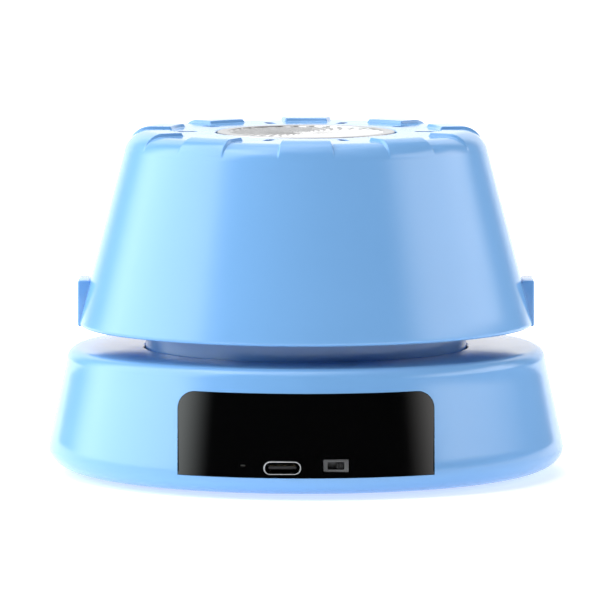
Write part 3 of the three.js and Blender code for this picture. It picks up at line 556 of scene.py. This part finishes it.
def addHousing():
    low, high = boxOf("base_housing")
    coverR = boxOf("bottom_cover")[1].x + housing["coverSeam"]
    ledgeZ = boxOf("bottom_cover")[1].z + 0.3
    skin = housingSkin()
    wall = housing["wall"]
    inner = [(housing["mouthR"] + 0.35, high.z), (housing["mouthR"], high.z - 0.35),
             (housing["mouthR"], high.z - wall)]
    shoulder = skin[-1][0]
    inner += list(reversed(arc(shoulder, high.z - housing["edge"], housing["edge"] - wall, 0, 90, 4)))
    inner += [(high.x - wall, low.z + housing["bellyH"]), (high.x - wall - 0.8, ledgeZ + 2),
              (housing["lipR"], ledgeZ + 2), (housing["lipR"], ledgeZ), (coverR, ledgeZ),
              (coverR, low.z + 0.3), (coverR + 0.3, low.z)]
    shell = turned("baseHousing", skin + inner, housing["sides"])
    window = extruded("window", panelOutline(panel["seam"]), -high.x - 2, -high.x + 24)
    combine(shell, [window])
    wallNormals(shell, skin)
    deliver(shell, "base", ["base_housing"], "bluePlastic")


def holeAt(node, room, radius):
    low, high = boxOf(node)
    centre = (low + high) / 2
    outline = roundedBox(high.x - low.x + 2 * room, high.z - low.z + 2 * room, radius, centre.x, centre.z)
    return extruded("hole", outline, low.y - 6, low.y + 12)


lightGuide = dict(width=0.96, height=0.34, z=8.2, slitRoom=0.2)


def addPanel():
    low, high = boxOf("port_panel")
    baseHigh = boxOf("base_housing")[1]
    foot = baseHigh.x - 2 * inset
    shoulder = (baseHigh.x - inset - housing["taper"], baseHigh.z - housing["edge"])
    skin = [(foot + (shoulder[0] - foot) * i / 8, low.z - 0.5 + (shoulder[1] - low.z + 0.5) * i / 8)
            for i in range(9)]
    shell = turned("portPanel", skin + [(r - 2.0, z) for r, z in reversed(skin)], housing["sides"])
    keep = extruded("keep", panelOutline(-0.02), -high.x * 3, -high.x)
    combine(shell, [keep], "INTERSECT")
    usbLow, usbHigh = boxOf("usb_shell")
    holes = [holeAt("usb_shell", panel["usbRoom"], (usbHigh.z - usbLow.z) / 2 + panel["usbRoom"] - 0.02)]
    holes.append(holeAt("switch_frame", panel["frameRoom"], 0.25))
    ledLow, ledHigh = boxOf("status_led")
    room = lightGuide["slitRoom"]
    slit = roundedBox(lightGuide["width"] + room, lightGuide["height"] + room, room,
                      (ledLow.x + ledHigh.x) / 2, lightGuide["z"])
    holes.append(extruded("slit", slit, -high.x * 3, -high.x))
    combine(shell, holes)
    wallNormals(shell, skin)
    deliver(shell, "base", ["port_panel"], "blackGloss")


cover = dict(edge=0.4, footRecessR=5.8, footRecess=1.3, screwPocketR=3.05, stepR=34.0, stepDepth=0.35,
             thick=2.4, screwPocket=1.3, boreR=1.5, bore=4)


def addCover():
    high = boxOf("bottom_cover")[1]
    bottom = boxOf("base_housing")[0].z
    step, edge = cover["stepR"], cover["edge"]
    outline = [(0, bottom + cover["stepDepth"]), (step, bottom + cover["stepDepth"]),
               (step + 0.35, bottom), (high.x - edge, bottom), (high.x, bottom + edge),
               (high.x, bottom + cover["thick"]), (0, bottom + cover["thick"])]
    plate = turned("bottomCover", outline, 192)
    tools = []
    for i in range(4):
        foot = centreOf("rubber_foot_%d" % (i + 1))
        tools.append(turned("recess", [(0, bottom - 1), (cover["footRecessR"], bottom - 1),
                                       (cover["footRecessR"], bottom + cover["footRecess"]),
                                       (0, bottom + cover["footRecess"])], 48, x=foot.x, y=foot.y))
        screw = centreOf("cover_screw_%d" % (i + 1))
        tools.append(turned("pocket", [(0, bottom - 1), (cover["screwPocketR"], bottom - 1),
                                       (cover["screwPocketR"], bottom + cover["screwPocket"]),
                                       (cover["boreR"], bottom + cover["screwPocket"]),
                                       (cover["boreR"], bottom + cover["bore"]),
                                       (0, bottom + cover["bore"])],
                            40, x=screw.x, y=screw.y))
    combine(plate, tools)
    deliver(plate, "base", ["bottom_cover"], "bluePlastic")


def addFeet():
    for i in range(4):
        node = "rubber_foot_%d" % (i + 1)
        low, high = boxOf(node)
        radius, middle = (high.x - low.x) / 2 - 0.02, centreOf(node)
        outline = [(0, 0.12), (radius * 0.55, 0.12), (radius * 0.62, 0.0), (radius - 0.7, 0.0)]
        outline += arc(radius - 0.6, 0.6, 0.6, -80, 0, 6) + [(radius, high.z), (0, high.z)]
        foot = turned("rubberFoot%d" % (i + 1), outline, 64, x=middle.x, y=middle.y)
        deliver(foot, "base", [node], "rubber")


crossRecess = dict(width=0.75, depth=0.55, reach=1.5)


def addCoverScrews():
    for i in range(4):
        node = "cover_screw_%d" % (i + 1)
        low, high = boxOf(node)
        middle = centreOf(node)
        headR = (high.x - low.x) / 2 - 0.02
        head = [(0, low.z)] + arc(headR - 0.5, low.z + 0.5, 0.5, -90, 0, 5)
        head += [(headR, low.z + 0.9), (1.2, low.z + 0.9), (1.2, high.z - 0.6), (0.7, high.z), (0, high.z)]
        screw = turned("coverScrew%d" % (i + 1), head, 48, x=middle.x, y=middle.y)
        tools = []
        reach, halfW = crossRecess["reach"], crossRecess["width"] / 2
        for long, short in ((reach, halfW), (halfW, reach)):
            outline = [(middle.x - long, middle.y - short), (middle.x + long, middle.y - short),
                       (middle.x + long, middle.y + short), (middle.x - long, middle.y + short)]
            tools.append(extruded("slot", outline, low.z - 1, low.z + crossRecess["depth"], axis="z"))
        combine(screw, tools)
        deliver(screw, "base", [node], "steel")


# ports

usbPort = dict(shellT=0.28, tongueW=6.6, tongueT=0.7, contactCount=12, contactPitch=0.5, contactW=0.24)


def tube(name, outerLoop, innerLoop, low, high):
    bm = bmesh.new()
    rings = [[bm.verts.new((x, y, z)) for x, z in loop]
             for loop, y in ((outerLoop, low), (outerLoop, high), (innerLoop, high), (innerLoop, low))]
    count = len(outerLoop)
    for k in range(4):
        a, b = rings[k], rings[(k + 1) % 4]
        for i in range(count):
            j = (i + 1) % count
            bm.faces.new((a[i], b[i], b[j], a[j]))
    return toObject(bm, name)


def addUsbPort():
    low, high = boxOf("usb_shell")
    middle = (low + high) / 2
    width, height, wall = high.x - low.x, high.z - low.z, usbPort["shellT"]
    outerLoop = roundedBox(width, height, height / 2 - 0.01, middle.x, middle.z, 10)
    innerLoop = roundedBox(width - 2 * wall, height - 2 * wall, height / 2 - wall - 0.01,
                           middle.x, middle.z, 10)
    shell = tube("usbShell", outerLoop, innerLoop, low.y, high.y)
    soften(shell, 0.09, 3)
    deliver(shell, "base", ["usb_shell"], "polishedSteel")

    low, high = boxOf("usb_tongue")
    halfT = usbPort["tongueT"] / 2
    outline = roundedBox(usbPort["tongueW"], usbPort["tongueT"], 0.12, middle.x, middle.z)
    blade = extruded("usbTongue", outline, low.y, high.y)
    soften(blade, 0.08, 2)
    width, height = high.x - low.x, high.z - low.z
    outline = roundedBox(width - 0.1, height - 0.1, height / 2 - 0.1, middle.x, middle.z)
    back = extruded("back", outline, high.y - 1.2, high.y)
    joinInto(blade, [back])
    deliver(blade, "base", ["usb_tongue"], "blackMatt")
    strips = []
    for side in (-1, 1):
        for i in range(usbPort["contactCount"]):
            x = middle.x + (i - (usbPort["contactCount"] - 1) / 2) * usbPort["contactPitch"]
            z = middle.z + side * (halfT + 0.01)
            outline = roundedBox(usbPort["contactW"], 0.07, 0.03, x, z, 2)
            strips.append(extruded("strip", outline, low.y + 0.5, high.y - 1.5))
    contacts = strips.pop()
    contacts.name = "usbContacts"
    joinInto(contacts, strips)
    deliver(contacts, "base", [], "gold")


switch = dict(slotW=3.95, slotH=1.8, ribs=4)


def addSwitch():
    low, high = boxOf("switch_frame")
    middle = (low + high) / 2
    frameBody = extruded("switchFrame", roundedBox(high.x - low.x - 0.04, high.z - low.z - 0.04, 0.3,
                                                   middle.x, middle.z), low.y, high.y)
    soften(frameBody, 0.12, 3)
    slotTool = extruded("slot", roundedBox(switch["slotW"], switch["slotH"], 0.12, middle.x, middle.z, 3),
                        low.y - 1, high.y - 1.2)
    combine(frameBody, [slotTool])
    deliver(frameBody, "base", ["switch_frame"], "switchGrey")
    low, high = boxOf("switch_knob")
    middle = (low + high) / 2
    halfH = (high.z - low.z) / 2 - 0.02
    halfW = (high.x - low.x) / 2 - 0.01
    profile = [(middle.x - halfW, high.y), (middle.x - halfW, low.y + 0.25)]
    for i in range(switch["ribs"]):
        start = middle.x - halfW + 2 * halfW * i / switch["ribs"]
        pitch = 2 * halfW / switch["ribs"]
        profile += [(start + pitch * 0.2, low.y), (start + pitch * 0.75, low.y),
                    (start + pitch, low.y + 0.25)]
    profile.append((middle.x + halfW, high.y))
    knob = extruded("switchKnob", profile, middle.z - halfH, middle.z + halfH, axis="z")
    soften(knob, 0.04, 2)
    deliver(knob, "switch_slider", ["switch_knob"], "blackMatt")


def addStatusLight():
    low, high = boxOf("status_led")
    x = (low.x + high.x) / 2
    outline = roundedBox(lightGuide["width"], lightGuide["height"], 0.16, x, lightGuide["z"])
    guide = extruded("statusLight", outline, low.y + 0.05, low.y + 3.4)
    soften(guide, 0.06, 2)
    holder = extruded("holder", roundedBox(2.0, 0.9, 0.1, x, low.z + 0.5), low.y + 3.35, high.y)
    joinInto(guide, [holder])
    deliver(guide, "base", ["status_led"], "diffuser")


# tower and spindle

tower = dict(radius=39.2, wall=2.0, edge=0.8, deckT=2.3, spigotR=32.6, spigotW=2.4, spigotH=2.2,
             bossR=13.0, pocketR=9.8, notchW=9.0, notchAngles=(45, 135), bossLow=40.0,
             notchReach=40)


def notchTools(low, high, reach):
    tools = []
    for degrees in tower["notchAngles"]:
        turn = math.radians(degrees)
        along = Vector((math.cos(turn), math.sin(turn)))
        across = Vector((-along.y, along.x)) * tower["notchW"] / 2
        corners = [along * reach + across, -along * reach + across, -along * reach - across,
                   along * reach - across]
        tools.append(extruded("notch", [tuple(c) for c in corners], low, high, axis="z"))
    return tools


def addTower():
    low, high = boxOf("motor_tower")
    deck = high.z - tower["spigotH"]
    under = deck - tower["deckT"]
    radius, edge, spigotR = tower["radius"] - 0.02, tower["edge"], tower["spigotR"]
    spigotIn = spigotR - tower["spigotW"]
    skirtTop = boxOf("base_housing")[1].z - housing["wall"] - 0.3
    outline = [(radius - tower["wall"], low.z), (high.x, low.z), (high.x, skirtTop), (radius, skirtTop)]
    outline += arc(radius - edge, deck - edge, edge, 0, 90, 8) + [(spigotR + 0.3, deck)]
    outline += arc(spigotR + 0.3, deck + 0.3, 0.3, 270, 180, 4)[1:]
    outline += arc(spigotR - 0.5, high.z - 0.5, 0.5, 0, 90, 5)
    outline += arc(spigotIn + 0.4, high.z - 0.4, 0.4, 90, 180, 4) + [(spigotIn, deck + 0.02)]
    pocketR, bossR, bossLow = tower["pocketR"], tower["bossR"], low.z + tower["bossLow"]
    outline += [(pocketR + 0.4, deck), (pocketR, deck - 0.4), (pocketR, bossLow), (bossR, bossLow),
                (bossR, under), (radius - tower["wall"], under)]
    body = turned("motorTower", outline, 256)
    combine(body, notchTools(deck + 0.05, high.z + 1, tower["notchReach"]))
    deliver(body, "base", ["motor_tower"], "bluePlastic")


def ringOutline(innerR, outerR, low, high, edge):
    return [(innerR, low + edge), (innerR + edge, low), (outerR - edge, low), (outerR, low + edge),
            (outerR, high - edge), (outerR - edge, high), (innerR + edge, high), (innerR, high - edge)]


def addSpindleTop():
    low, high = boxOf("spindle_seal")
    seal = ringOutline(3.6, high.x - inset, low.z, high.z, 0.2)
    seal[5:5] = [(high.x - 0.2, high.z), (7.4, high.z), (7.0, high.z - 0.45), (5.4, high.z - 0.45),
                 (5.0, high.z)]
    deliver(turned("spindleSeal", seal, 96), "base", ["spindle_seal"], "rubber")
    low, high = boxOf("slinger")
    skirt = high.x - inset
    disc = [(3.3, low.z + 0.4), (skirt - 1.2, low.z + 0.4), (skirt - 0.3, low.z), (skirt, low.z + 0.25),
            (skirt, low.z + 0.7), (skirt - 1.0, high.z), (3.3, high.z)]
    deliver(turned("slinger", disc, 96), "spindle", ["slinger"], "rubber")
    low, high = boxOf("head_hub")
    flange = high.x - inset
    hub = [(3.3, low.z), (7.2, low.z), (7.98, low.z + 0.8), (7.98, high.z - 2.0)]
    hub += list(reversed(arc(8.58, high.z - 2.0, 0.6, 90, 180, 4)))[1:]
    hub += [(flange - 0.2, high.z - 1.4), (flange, high.z - 1.2), (flange, high.z - 0.2),
            (flange - 0.2, high.z), (3.3, high.z)]
    deliver(turned("headHub", hub, 96), "spindle", ["head_hub"], "brass")


wheel = dict(rimW=2.6, dish=0.25, edge=0.25, vanes=30, twist=62.0, rise=0.24, stepShare=0.26, innerR=1.2,
             sweep=1.3, fadeIn=0.12, fadeOut=0.05, rings=44, cutsPerVane=16)


def vanePhase(r, angle):
    # curved blades that sweep in to the centre, each a long ramp with a short step
    inner, outer = wheel["innerR"], boxOf("wheel_head")[1].x - wheel["rimW"]
    out = min(1.0, max(0.0, (r - inner) / (outer - inner)))
    swept = angle + math.radians(wheel["twist"]) * (1 - out) ** wheel["sweep"]
    phase = swept * wheel["vanes"] / (2 * math.pi)
    return phase - math.floor(phase), out


def vaneHeight(r, angle):
    phase, out = vanePhase(r, angle)
    blade = 1 - wheel["stepShare"]
    ramp = phase / blade if phase < blade else (1 - phase) / wheel["stepShare"]
    fade = min(1.0, out / wheel["fadeIn"], (1 - out) / wheel["fadeOut"])
    return (ramp - 0.5) * wheel["rise"] * max(0.0, fade)


def addWheel():
    low, high = boxOf("wheel_head")
    radius = high.x - inset
    innerR = radius - wheel["rimW"]
    floorZ = high.z - wheel["dish"]
    edge = wheel["edge"]
    outline = [(0, low.z), (radius - 0.6, low.z), (radius, low.z + 0.6)]
    outline += arc(radius - edge, high.z - edge, edge, 0, 90, 5)
    outline += [(innerR + 0.2, high.z), (innerR + 0.05, high.z - 0.08), (innerR, floorZ)]
    steps = wheel["rings"]
    outline += [(innerR * (1 - i / steps), floorZ) for i in range(1, steps)]
    outline.append((0, floorZ))

    def shift(r, z, angle):
        if abs(z - floorZ) < 1e-6 and r < innerR - 0.01:
            return r, z - wheel["rise"] / 2 + vaneHeight(r, angle)
        return r, z

    bm = revolve(outline, evenAngles(wheel["vanes"] * wheel["cutsPerVane"]), shift)
    head = toObject(bm, "wheelHead", 60)
    deliver(head, "spindle", ["wheel_head"], "wheelRing")
    head.data.materials.append(materials["wheelMetal"])
    head.data.materials.append(materials["wheelStepShade"])
    # the vane steps get the darker metal as painted shade between the vanes; the rest of the floor gets the
    # bright metal
    for polygon in head.data.polygons:
        centre = polygon.center / mm
        r = math.hypot(centre.x, centre.y)
        if r < innerR - 0.02 and centre.z > low.z + 1:
            phase, out = vanePhase(r, math.atan2(centre.x, -centre.y))
            polygon.material_index = 2 if phase > 1 - wheel["stepShare"] and out > 0.1 else 1


# hood

hood = dict(rimEdge=0.8, corner=5.93, flare=12.33, wall=2.2, topT=2.4, lugProud=0.05,
            padCount=10, padRise=0.8, padFlat=5.6, padCorner=5.5, padFull=8.35, padEnd=9.15,
            holeR=22.1, seatInner=33.1, seatW=2.2, slotInner=26.4, slotOuter=31.3, slotW=2.2,
            seatDepth=7.6, notchDepth=2.5, notchReach=38, sharpAngle=55)


def hoodFigures():
    low, high = boxOf("splash_hood")
    top = high.z - hood["padRise"]
    rimR = high.x - hood["lugProud"]
    topR = rimR - hood["flare"]
    slope = hood["flare"] / (top - low.z)
    tilt = math.atan(slope)
    flatR = topR - hood["corner"] * math.tan((math.pi / 2 - tilt) / 2)
    return dict(rimZ=low.z, top=top, rimR=rimR, topR=topR, slope=slope, tilt=tilt, flatR=flatR)


def hoodWallAt(z):
    # the outside of the hood's wall at a height
    figures = hoodFigures()
    return figures["topR"] + figures["slope"] * (figures["top"] - z)


def padWeight(angle):
    pitch = 360 / hood["padCount"]
    away = math.degrees(angle) % pitch
    away = min(away, pitch - away)
    t = (hood["padEnd"] - away) / (hood["padEnd"] - hood["padFull"])
    t = min(1.0, max(0.0, t))
    return t * t * (3 - 2 * t)


def hoodAngles():
    # close together across each pad's two edges
    steps = [0, 1.6, 3.2, 4.8, 6.2, 7.2, 7.8, 8.1, 8.25, 8.4, 8.52, 8.64, 8.76, 8.88, 9.0, 9.12, 9.25, 9.45,
             9.9, 10.8, 12.2, 13.8, 15.4, 16.8]
    pitch = 360 / hood["padCount"]
    angles = []
    for i in range(hood["padCount"]):
        middle = i * pitch
        angles += [middle + s for s in steps] + [middle + pitch / 2]
        angles += [middle + pitch - s for s in reversed(steps[1:])]
    return [math.radians(a) for a in angles]


def hoodShift(r, z, angle):
    figures = hoodFigures()
    top, flatR, corner = figures["top"], figures["flatR"], hood["corner"]
    dr, dz = r - flatR, z - (top - corner)
    if dr >= -1e-6 and dz > 0 and abs(math.hypot(dr, dz) - corner) < 0.01:
        turn = math.atan2(dz, dr)
        lift = corner + hood["padRise"] - hood["padCorner"]
        reach = lift * math.sin(turn) + math.sqrt(hood["padCorner"] ** 2 - (lift * math.cos(turn)) ** 2)
        bulge = max(0.0, reach - corner) * padWeight(angle)
        return r + bulge * math.cos(turn), z + bulge * math.sin(turn)
    if abs(z - top) < 1e-6 and r < flatR:
        start = flatR - hood["padFlat"]
        t = min(1.0, max(0.0, (r - start) / (hood["padRise"] * 0.9)))
        return r, z + hood["padRise"] * t * t * (3 - 2 * t) * padWeight(angle)
    return r, z


def hoodOutline():
    figures = hoodFigures()
    rimZ, rimR, top = figures["rimZ"], figures["rimR"], figures["top"]
    tilt, flatR = figures["tilt"], figures["flatR"]
    edge, corner = hood["rimEdge"], hood["corner"]
    start = math.degrees(tilt)
    points = [(rimR - 1.9, rimZ + 0.2), (rimR - 1.6, rimZ)]
    points += arc(rimR - edge - 0.02, rimZ + edge, edge, -90, start, 7)
    low = points[-1]
    high = arc(flatR, top - corner, corner, start, 90, 26)
    for i in range(1, 12):
        t = i / 12
        points.append((low[0] + (high[0][0] - low[0]) * t, low[1] + (high[0][1] - low[1]) * t))
    points += high
    padInner = flatR - hood["padFlat"]
    flats = [flatR - 1.2, flatR - 2.6, flatR - 4.0, padInner + 0.95]
    flats += [padInner + 0.85 - 0.12 * i for i in range(8)]
    points += [(r, top) for r in flats + [padInner - 0.6, padInner - 2, 28, 25, 23.2, 22.6]]
    points += arc(hood["holeR"] + 0.4, top - 0.4, 0.4, 90, 180, 4)
    ceiling = top - hood["topT"]
    thick = hood["wall"] / math.cos(tilt)
    bevel = corner - hood["wall"]
    seatLow = ceiling - hood["seatDepth"]
    seatOut = hood["seatInner"] + hood["seatW"]
    points += [(hood["holeR"], ceiling + 0.3), (hood["holeR"] + 0.3, ceiling), (hood["seatInner"], ceiling),
               (hood["seatInner"], seatLow + 0.3), (hood["seatInner"] + 0.3, seatLow),
               (seatOut - 0.3, seatLow), (seatOut, seatLow + 0.3), (seatOut, ceiling)]
    bend = (hoodWallAt(ceiling) - thick, ceiling)
    bendStart = (bend[0] - bevel, ceiling)
    bendEnd = (hoodWallAt(ceiling - bevel) - thick, ceiling - bevel)
    points += [bendStart] + curveBetween(bendStart, bend, bendEnd, 6) + [bendEnd]
    return points


lug = dict(halfW=6.5, topZ=47.25, edge=0.55, sunk=1.2, heel=0.75, soft=0.35)


def lugPiece(side):
    rimZ = hoodFigures()["rimZ"]
    outer, edge = boxOf("splash_hood")[1].x - 0.01, lug["edge"]
    high = lug["topZ"]
    inner = hoodWallAt(high)
    sunk, heel = lug["sunk"], lug["heel"]
    outline = [(inner - sunk, rimZ + 0.4), (outer - edge, rimZ)]
    outline += arc(outer - edge, rimZ + edge, edge, -70, 0, 4)
    outline += arc(outer - edge, high - edge, edge, 0, 90, 6)
    outline += arc(inner + heel, high - heel, heel, 90, 170, 6)
    outline += [(inner - sunk, high - 1.6)]
    piece = extruded("lug", [(side * x, z) for x, z in outline], -lug["halfW"], lug["halfW"])
    soften(piece, lug["soft"], 4, 60)
    return piece


def hoodSlotTools():
    top = hoodFigures()["top"]
    middle = (hood["slotInner"] + hood["slotOuter"]) / 2
    length = hood["slotOuter"] - hood["slotInner"]
    tools = []
    for i in range(hood["padCount"]):
        turn = math.radians(-90 + 360 * (i + 0.5) / hood["padCount"])
        outline = roundedBox(length, hood["slotW"], hood["slotW"] / 2 - 0.01, middle, 0, 8)
        placed = [(x * math.cos(turn) - y * math.sin(turn), x * math.sin(turn) + y * math.cos(turn))
                  for x, y in outline]
        tools.append(extruded("slot", placed, top - hood["topT"] - 1, top + 2, axis="z"))
    return tools


def addHood():
    sharp = hood["sharpAngle"]
    shell = toObject(revolve(hoodOutline(), hoodAngles(), hoodShift), "splashHood", sharp)
    combine(shell, [lugPiece(-1), lugPiece(1)], "UNION", sharp)
    seatLow = hoodFigures()["top"] - hood["topT"] - hood["seatDepth"]
    notches = notchTools(seatLow - 1, seatLow + hood["notchDepth"], hood["notchReach"])
    combine(shell, hoodSlotTools() + notches, "DIFFERENCE", sharp)
    deliver(shell, "hood", ["splash_hood"], "bluePlastic")


# pieces that keep their own shape

finishOfSlot = dict(steel="steel", bearing_steel="polishedSteel", brass="brass", board="solderMask",
                    cell_wrap="cellWrap", black_matt="blackMatt", grey_plastic="greyPlastic", nylon="nylon",
                    red_wire="redWire", rubber="rubber", aluminium="wheelMetal", blue_plastic="bluePlastic",
                    black_gloss="blackGloss", diffuser="diffuser")


def finishInner():
    slots = {part["node"]: part["material_slot"] for part in frame["record"]["subparts"]}
    for name, node in frame["nodes"].items():
        material = materials[finishOfSlot[slots[name]]]
        if not node.data.materials:
            node.data.materials.append(material)
        for slot in node.material_slots:
            slot.material = material


makeMaterials()
addCamera()
addRoom()
addFloor()
print("room ready")
addHousing()
addPanel()
addCover()
addFeet()
addCoverScrews()
print("base ready")
addUsbPort()
addSwitch()
addStatusLight()
print("ports ready")
addTower()
addSpindleTop()
addWheel()
print("tower and wheel ready")
addHood()
print("hood ready")
finishInner()
